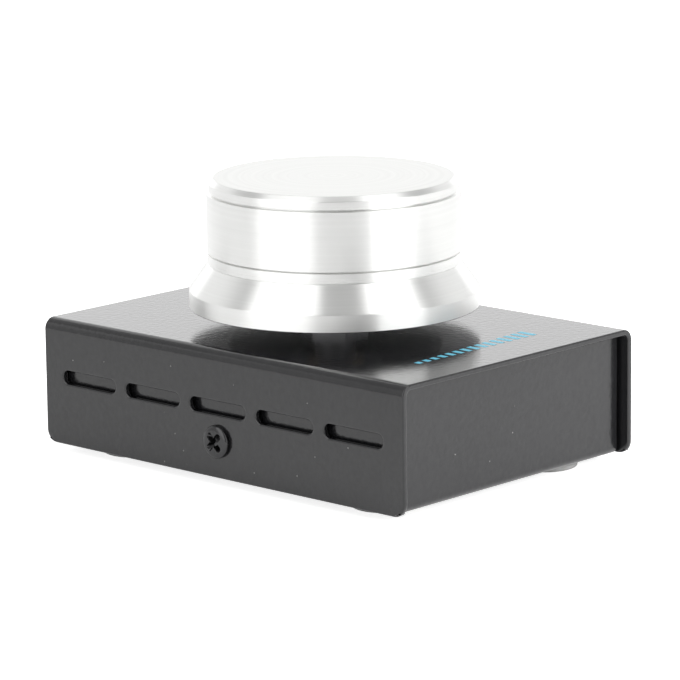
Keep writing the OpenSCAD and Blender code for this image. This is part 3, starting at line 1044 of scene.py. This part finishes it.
@dataclass
class Knob:
    """Turned knob: base band, sloping skirt, grooved grip, rim, chamfered top and hollow underside."""

    base_band_h: float = 3.0 * MM
    skirt_h: float = 4.5 * MM
    grip_d: float = 43.7 * MM
    collar_h: float = 1.85 * MM
    grip_h: float = 10.1 * MM
    rim_d: float = 42.9 * MM
    top_chamfer: float = 0.85 * MM
    groove_w: float = 0.3 * MM
    groove_depth: float = 0.4 * MM
    undercut: float = 0.18 * MM
    recess_d: float = 37.0 * MM
    crown_t: float = 7.0 * MM
    hub_d: float = 16.0 * MM
    bore_d: float = 10.06 * MM
    edge_r: float = 0.1 * MM
    fine_edge_r: float = 0.04 * MM
    edge_steps: int = 3
    turn_steps: int = 256

    def __post_init__(self) -> None:
        """Takes the knob's place from the frame."""
        self.low, self.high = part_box("knob")
        self.hub_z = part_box("knob_insert")[0].z

    def outline(self) -> list[tuple[float, float, float]]:
        """Corners of half the knob's section, from the top's middle round to the bore.

        Returns:
            The radius, height and rounding of each corner.
        """
        base_r, grip_r, rim_r = self.high.x, self.grip_d / 2, self.rim_d / 2
        recess_r, hub_r, bore_r = self.recess_d / 2, self.hub_d / 2, self.bore_d / 2
        groove_r = min(grip_r, rim_r) - self.groove_depth
        foot = self.low.z
        skirt_z = foot + self.base_band_h
        collar_z = skirt_z + self.skirt_h
        low_groove = collar_z + self.collar_h
        grip_z = low_groove + self.groove_w
        high_groove = grip_z + self.grip_h
        rim_z = high_groove + self.groove_w
        top, crown = self.high.z, self.high.z - self.crown_t
        soft, fine = self.edge_r, self.fine_edge_r
        return [
            (0.0, top, 0.0), (rim_r - self.top_chamfer, top, soft), (rim_r, top - self.top_chamfer, soft),
            (rim_r, rim_z, fine), (groove_r, rim_z, 0.0),
            (groove_r, high_groove, 0.0), (grip_r, high_groove, fine),
            (grip_r, grip_z, fine), (groove_r, grip_z, 0.0),
            (groove_r, low_groove, 0.0), (grip_r, low_groove, fine),
            (grip_r, collar_z + self.undercut, fine),
            (grip_r - self.undercut, collar_z + self.undercut / 2, 0.0), (grip_r, collar_z, fine),
            (base_r, skirt_z, soft), (base_r, foot, soft), (recess_r, foot, soft), (recess_r, crown, soft),
            (hub_r, crown, soft), (hub_r, self.hub_z, soft),
            (bore_r, self.hub_z, soft), (bore_r, crown, 0.0), (0.0, crown, 0.0),
        ]

    def build(self, shop: Workshop) -> None:
        """Makes the knob.

        Args:
            shop: the workshop that finishes the piece.
        """
        shape = bmesh.new()
        outline = self.outline()
        corners = chain(shape, [Vector((r, 0, z)) for r, z, _ in outline])
        for radius in (self.edge_r, self.fine_edge_r):
            chosen = [corner for corner, spec in zip(corners, outline) if spec[2] == radius]
            round_off(shape, chosen, radius, self.edge_steps)
        turn(shape, self.turn_steps)
        shop.piece("turned_knob", shape, Slot.TURNED_ALUMINIUM, Body.KNOB, ["knob"])


@dataclass
class CoverScrews:
    """Pan-head cross-recess screws in the two flaps."""

    thread_d: float = 3.0 * MM
    length: float = 5.0 * MM
    head_h: float = 1.1 * MM
    crown_r: float = 18.0 * MM
    crown_cuts: int = 8
    rim_r: float = 0.48 * MM
    rim_steps: int = 4
    recess_span: float = 4.0 * MM
    recess_wing: float = 1.15 * MM
    recess_depth: float = 1.4 * MM
    recess_taper: float = 0.45
    recess_turn: float = math.radians(45)
    wing_rounding: float = 0.8
    wing_steps: int = 4
    arris: float = 0.06 * MM
    arris_steps: int = 2
    turn_steps: int = 64

    def __post_init__(self) -> None:
        """Takes the screws' places from the frame."""
        self.low, self.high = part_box("cover_screws")
        self.seat_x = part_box("top_cover")[1].x
        self.head_r = (self.high.y - self.low.y) / 2
        self.axis_z = (self.low.z + self.high.z) / 2

    def blank(self) -> BMesh:
        """Screw without its recess, its seat at z = 0 and its shank downwards.

        Returns:
            The closed shape.
        """
        shape = bmesh.new()
        rise = self.crown_r - math.sqrt(self.crown_r ** 2 - self.head_r ** 2)
        thread_r = self.thread_d / 2
        outline = [(0, self.head_h), (self.head_r, self.head_h - rise), (self.head_r, 0), (thread_r, 0),
                   (thread_r, -self.length), (0, -self.length)]
        corners = chain(shape, [Vector((r, 0, z)) for r, z in outline])
        round_off(shape, corners[1:2], self.rim_r, self.rim_steps)
        crown = max(shape.edges, key=lambda edge: edge.verts[0].co.z + edge.verts[1].co.z)
        arc = bmesh.ops.subdivide_edges(shape, edges=[crown], cuts=self.crown_cuts)["geom_inner"]
        for vert in verts_of(arc):
            vert.co.z = self.head_h - self.crown_r + math.sqrt(self.crown_r ** 2 - vert.co.x ** 2)
        turn(shape, self.turn_steps)
        return shape

    def recess(self) -> BMesh:
        """Cross-shaped cutter that narrows downwards and has its named sizes at the head's face.

        Returns:
            The closed shape.
        """
        shape = bmesh.new()
        face_scale = (1 + self.recess_taper) / 2
        wing = self.recess_wing / face_scale
        reach = (self.recess_span - self.recess_wing) / 2 / face_scale
        rectangle(shape, wing, wing)
        for edge in shape.edges[:]:
            out = (edge.verts[0].co + edge.verts[1].co).normalized()
            pull(shape, [edge], out * reach)
        ends = [vert for vert in shape.verts if vert.co.length > reach]
        round_off(shape, ends, self.wing_rounding * wing / 2, self.wing_steps)
        bmesh.ops.translate(shape, vec=Z * (self.head_h + self.recess_depth), verts=shape.verts[:])
        floor = verts_of(bmesh.ops.extrude_face_region(shape, geom=shape.faces[:])["geom"])
        bmesh.ops.translate(shape, vec=-Z * 2 * self.recess_depth, verts=floor)
        bmesh.ops.scale(shape, vec=(self.recess_taper, self.recess_taper, 1), verts=floor)
        across = Matrix.Rotation(self.recess_turn, 3, "Z")
        bmesh.ops.rotate(shape, cent=(0, 0, 0), matrix=across, verts=shape.verts[:])
        bmesh.ops.recalc_face_normals(shape, faces=shape.faces[:])
        return shape

    @staticmethod
    def cut(blank: BMesh, cutter: BMesh) -> BMesh:
        """Cuts one closed shape out of another.

        Args:
            blank: the shape that is cut, which is freed.
            cutter: the shape that cuts, which is freed.

        Returns:
            The rest of the blank.
        """
        pair = [cast("blank", blank), cast("cutter", cutter)]
        minus = pair[0].modifiers.new("minus", "BOOLEAN")
        minus.operation = "DIFFERENCE"
        minus.object = pair[1]
        rest = bmesh.new()
        rest.from_object(pair[0], bpy.context.evaluated_depsgraph_get())
        for made in pair:
            bpy.data.objects.remove(made)
        return rest

    def build(self, shop: Workshop) -> None:
        """Makes both screws.

        Args:
            shop: the workshop that finishes the piece.
        """
        both = bmesh.new()
        for side in (-1, 1):
            screw = self.cut(self.blank(), self.recess())
            outwards = Matrix.Rotation(side * math.pi / 2, 4, "Y")
            place = Matrix.Translation((side * self.seat_x, 0, self.axis_z)) @ outwards
            bmesh.ops.transform(screw, matrix=place, verts=screw.verts[:])
            mesh = bpy.data.meshes.new("screw")
            screw.to_mesh(mesh)
            screw.free()
            both.from_mesh(mesh)
            bpy.data.meshes.remove(mesh)
        shop.piece("pan_screws", both, Slot.BLACK_SCREW, stands_for=["cover_screws"],
                   arris=self.arris, arris_steps=self.arris_steps)


@dataclass
class Feet:
    """Four round rubber feet."""

    edge_r: float = 0.4 * MM
    edge_steps: int = 5
    dish_depth: float = 0.15 * MM
    lip: float = 1.2 * MM
    dish_inset: float = 1.8 * MM
    turn_steps: int = 96
    nodes: tuple[str, ...] = ("foot_front_left", "foot_front_right", "foot_rear_left", "foot_rear_right")

    def foot(self, node: str) -> BMesh:
        """One foot, with a rounded edge and a shallow dish underneath.

        Args:
            node: its CAD node.

        Returns:
            The closed shape.
        """
        low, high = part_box(node)
        centre = (low + high) / 2
        radius = (high.x - low.x) / 2
        dish_z = low.z + self.dish_depth
        shape = bmesh.new()
        outline = [(0, high.z), (radius, high.z), (radius, low.z), (radius - self.lip, low.z),
                   (radius - self.dish_inset, dish_z), (0, dish_z)]
        corners = chain(shape, [Vector((centre.x + r, centre.y, z)) for r, z in outline])
        round_off(shape, corners[2:3], self.edge_r, self.edge_steps)
        turn(shape, self.turn_steps, centre)
        return shape

    def build(self, shop: Workshop) -> None:
        """Makes the feet.

        Args:
            shop: the workshop that finishes the pieces.
        """
        for node in self.nodes:
            name = node.replace("foot", "rubber_foot")
            shop.piece(name, self.foot(node), Slot.FOOT_RUBBER, stands_for=[node])


@dataclass
class PrintMarks:
    """Row of printed bars that rise from left to right, on the top near the front edge."""

    count: int = 15
    row_w: float = 30.0 * MM
    first_h: float = 1.2 * MM
    last_h: float = 3.6 * MM
    bar_w: float = 1.1 * MM
    front_inset: float = 9.2 * MM
    ink_t: float = 0.02 * MM
    corner_r: float = 0.12 * MM
    corner_steps: int = 3

    def build(self, shop: Workshop) -> None:
        """Makes the row.

        Args:
            shop: the workshop that finishes the piece.
        """
        low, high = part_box("top_cover")
        shape = bmesh.new()
        for index in range(self.count):
            share = index / (self.count - 1)
            depth = self.first_h + share * (self.last_h - self.first_h)
            x = (share - 0.5) * (self.row_w - self.bar_w)
            middle = Vector((x, low.y + self.front_inset + depth / 2, high.z))
            bar = rectangle(shape, self.bar_w, depth, Matrix.Translation(middle))
            round_off(shape, bar, self.corner_r, self.corner_steps)
        face = bmesh.ops.extrude_face_region(shape, geom=shape.faces[:])["geom"]
        bmesh.ops.translate(shape, vec=Z * self.ink_t, verts=verts_of(face))
        bmesh.ops.recalc_face_normals(shape, faces=shape.faces[:])
        shop.piece("print_marks", shape, Slot.PRINT_INK)


@dataclass
class DataSocket:
    """Square-type data socket in the rear panel."""

    def build(self, shop: Workshop) -> None:
        """Dresses the socket's nodes.

        Args:
            shop: the workshop that holds the finishes.
        """
        shop.dress(Slot.PLATED_STEEL, "socket_shell")
        shop.dress(Slot.PALE_MOULDING, "socket_insulator")
        shop.dress(Slot.GOLD_PLATE, "socket_contacts")


@dataclass
class Encoder:
    """Push-and-turn encoder, its nut and its washer, and the snap dome of its switch."""

    dome_t: float = 0.1 * MM
    dome_kept: float = 0.2
    arc_steps: int = 12
    turn_steps: int = 64
    press_joint: str = "knob_press"

    def dome(self, low: Vector, high: Vector) -> BMesh:
        """Thin domed disc.

        Args:
            low: lowest corner of its box.
            high: highest corner of its box.

        Returns:
            The closed shape.
        """
        rise = high.z - low.z
        outer_r = (high.x ** 2 + rise ** 2) / (2 * rise)
        centre = Z * (high.z - outer_r)
        shape = bmesh.new()
        rims = []
        for radius in (outer_r, outer_r - self.dome_t):
            crown = shape.verts.new(centre + Z * radius)
            reach = math.acos((outer_r - rise) / radius)
            arc = bmesh.ops.spin(shape, geom=[crown], cent=centre, axis=Y, angle=reach, steps=self.arc_steps)
            rims += verts_of(arc["geom_last"])
        shape.edges.new(rims)
        turn(shape, self.turn_steps)
        return shape

    def build(self, shop: Workshop) -> None:
        """Makes the dome, with a mesh of its own, and dresses the other nodes.

        Args:
            shop: the workshop that finishes the dome and holds the finishes.
        """
        low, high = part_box("switch_dome")
        dome = shop.piece("snap_dome", self.dome(low, high), Slot.PLATED_STEEL, stands_for=["switch_dome"])
        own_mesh(dome)
        shop.dress(Slot.PLATED_STEEL, "encoder_shaft", "encoder_frame", "encoder_nut", "lock_washer",
                   "encoder_terminals")
        shop.dress(Slot.BRASS, "knob_insert")
        shop.dress(Slot.DARK_MOULDING, "encoder_body", "switch_plunger")
        shop.dress(Slot.PALE_MOULDING, "encoder_rotor")
        shop.dress(Slot.SPRING_METAL, "detent_spring")


@dataclass
class Electronics:
    """Circuit board with what stands on it and holds it."""

    def build(self, shop: Workshop) -> None:
        """Dresses the board's nodes.

        Args:
            shop: the workshop that holds the finishes.
        """
        shop.dress(Slot.BOARD_LAMINATE, "circuit_board")
        shop.dress(Slot.BRASS, "board_standoffs")
        shop.dress(Slot.PLATED_STEEL, "board_screws", "clinch_nuts", "chip_leads", "crystal",
                   "supply_capacitor")
        shop.dress(Slot.DARK_MOULDING, "controller_chip", "chip_resistors")
        shop.dress(Slot.CERAMIC, "ceramic_capacitors")


@dataclass
class Softbox:
    """Soft lamp round the object, with a white face that mirrors show, cut short at its right."""

    name: str
    azimuth: float
    elevation: float
    width: float
    height: float
    radiance: float
    face: float = 0.0
    face_cut: float = 0.0
    distance: float = 0.7


@dataclass
class Card:
    """Grey sheet swept round the object, which only mirrors show."""

    name: str
    first_azimuth: float
    last_azimuth: float
    radii: tuple[float, float]
    heights: tuple[float, float]
    grey: float
    shades: bool = False


@dataclass
class Studio:
    """Camera at the photograph's view, pale floor, white surroundings and soft lamps."""

    azimuth: float = -47.019
    elevation: float = 12.15
    roll: float = -0.662
    distance: float = 683.8 * MM
    lens: float = 210.04
    sensor: float = 36.0
    aim_right: float = 0.804 * MM
    aim_up: float = -2.951 * MM
    floor_size: float = 8.0
    floor_drop: float = 0.02 * MM
    ambient: float = 0.5
    lamps: tuple[Softbox, ...] = (
        Softbox("left_softbox", -46.5, 33.0, 0.76, 1.0, radiance=0.4, face=1.8),
        Softbox("right_softbox", 56.5, 33.0, 0.68, 1.0, radiance=2.7, face=2.3, face_cut=0.1),
        Softbox("back_softbox", 180.0, 12.5, 1.5, 0.22, radiance=0.42, distance=0.9),
    )
    watts_per_m2: float = 4.0
    face_gap: float = 0.01
    cards: tuple[Card, ...] = (
        Card("side_card", -95.0, 95.0, (1.0, 1.0), (0.0, 0.8), grey=0.75),
        Card("middle_card", -16.0, 33.0, (0.5, 0.2), (0.0, 0.6), grey=0.45, shades=True),
        Card("ceiling", -150.0, 150.0, (0.36, 1.2), (0.9, 0.9), grey=0.55),
    )
    card_steps: int = 64

    def heading(self, azimuth: float, elevation: float) -> Vector:
        """Unit direction from the object.

        Args:
            azimuth: degrees to the right of the camera's own azimuth, as the camera sees it.
            elevation: degrees above the horizon.

        Returns:
            The direction.
        """
        turned, raised = math.radians(self.azimuth + azimuth), math.radians(elevation)
        level = math.cos(raised)
        return Vector((math.sin(turned) * level, -math.cos(turned) * level, math.sin(raised)))

    def camera(self) -> None:
        """Puts the camera where the photograph was taken from."""
        low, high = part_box("top_cover")
        top = Vector(((low.x + high.x) / 2, (low.y + high.y) / 2, high.z))
        back = self.heading(0, self.elevation)
        right = Z.cross(back).normalized()
        up = back.cross(right)
        tilt = math.radians(self.roll)
        aim = top + self.aim_right * right + self.aim_up * up
        axis_x = math.cos(tilt) * right + math.sin(tilt) * up
        axis_y = -math.sin(tilt) * right + math.cos(tilt) * up
        data = bpy.data.cameras.new("camera")
        data.lens = self.lens
        data.sensor_width = self.sensor
        made = set_down("camera", data)
        turned = Matrix((axis_x, axis_y, back)).transposed().to_4x4()
        made.matrix_world = Matrix.Translation(aim + back * self.distance) @ turned
        bpy.context.scene.camera = made

    def surroundings(self) -> None:
        """Lights the world: white where it is seen or mirrored, softer as a source of light."""
        world = bpy.data.worlds.new("surroundings")
        bpy.context.scene.world = world
        tree = ShaderTree(world)
        direct, mirrored = tree.seen()
        strength = self.ambient + (1 - self.ambient) * (direct | mirrored)
        white = tree.add("ShaderNodeBackground", {}, {"Color": (1, 1, 1, 1), "Strength": strength})
        tree.add("ShaderNodeOutputWorld", {}, {"Surface": white})

    def floor(self) -> None:
        """Lays the floor just under the object."""
        shape = bmesh.new()
        drop = Matrix.Translation((0, 0, CAD_BOX[0].z - self.floor_drop))
        rectangle(shape, self.floor_size, self.floor_size, drop)
        self.stage_piece("floor", shape, PaleFloor().make("pale_floor"))

    def card(self, card: Card) -> None:
        """Stands or hangs one card.

        Args:
            card: the card's place and size.
        """
        shape = bmesh.new()
        out = self.heading(card.first_azimuth, 0)
        ends = chain(shape, [out * radius + Z * height for radius, height in zip(card.radii, card.heights)])
        sweep = math.radians(card.last_azimuth - card.first_azimuth)
        bmesh.ops.spin(shape, geom=ends + shape.edges[:], cent=(0, 0, 0), axis=Z, angle=sweep,
                       steps=self.card_steps)
        self.mirror_card(card.name, shape, card.grey, card.shades)

    def mirror_card(self, name: str, shape: BMesh, grey: float, shades: bool = False) -> None:
        """Makes a card that only mirrors show, so that it lights nothing.

        Args:
            name: its name.
            shape: its mesh, which is freed.
            grey: how bright it is.
            shades: whether it hides the lamps behind it.
        """
        made = self.stage_piece(name, shape, Glow(grey).make(name))
        made.visible_camera = made.visible_diffuse = False
        made.visible_shadow = shades

    @staticmethod
    def stage_piece(name: str, shape: BMesh, material: bpy.types.Material) -> bpy.types.Object:
        """Makes a piece of the studio.

        Args:
            name: its name.
            shape: its mesh, which is freed.
            material: its material.

        Returns:
            The object.
        """
        made = cast(name, shape, material)
        return made

    def lamp(self, box: Softbox) -> None:
        """Hangs one soft lamp that faces the object.

        Args:
            box: the lamp's place and size.
        """
        data = bpy.data.lights.new(box.name, "AREA")
        data.shape = "RECTANGLE"
        data.size, data.size_y = box.width, box.height
        data.energy = self.watts_per_m2 * box.width * box.height * box.radiance
        made = set_down(box.name, data)
        out = self.heading(box.azimuth, box.elevation)
        place = Matrix.Translation(out * box.distance) @ out.to_track_quat("Z", "Y").to_matrix().to_4x4()
        made.matrix_world = place
        made.visible_camera = False
        made.visible_glossy = not box.face
        if box.face:
            shift = Matrix.Translation(Z * self.face_gap - X * box.face_cut / 2)
            face = bmesh.new()
            rectangle(face, box.width - box.face_cut, box.height, place @ shift)
            self.mirror_card(f"{box.name}_face", face, box.face)

    def build(self) -> None:
        """Sets the whole studio."""
        self.camera()
        self.surroundings()
        self.floor()
        for card in self.cards:
            self.card(card)
        for box in self.lamps:
            self.lamp(box)
        bpy.context.scene.view_settings.view_transform = "Standard"


def main() -> None:
    """Builds the studio and every sub-assembly."""
    logging.basicConfig(level=logging.INFO, format="%(name)s %(message)s")
    Studio().build()
    shop = Workshop()
    assemblies = (Case(), Knob(), CoverScrews(), Feet(), PrintMarks(), DataSocket(), Encoder(),
                  Electronics())
    for assembly in assemblies:
        LOG.info("building %s", type(assembly).__name__)
        assembly.build(shop)


if __name__ == "__main__":
    main()
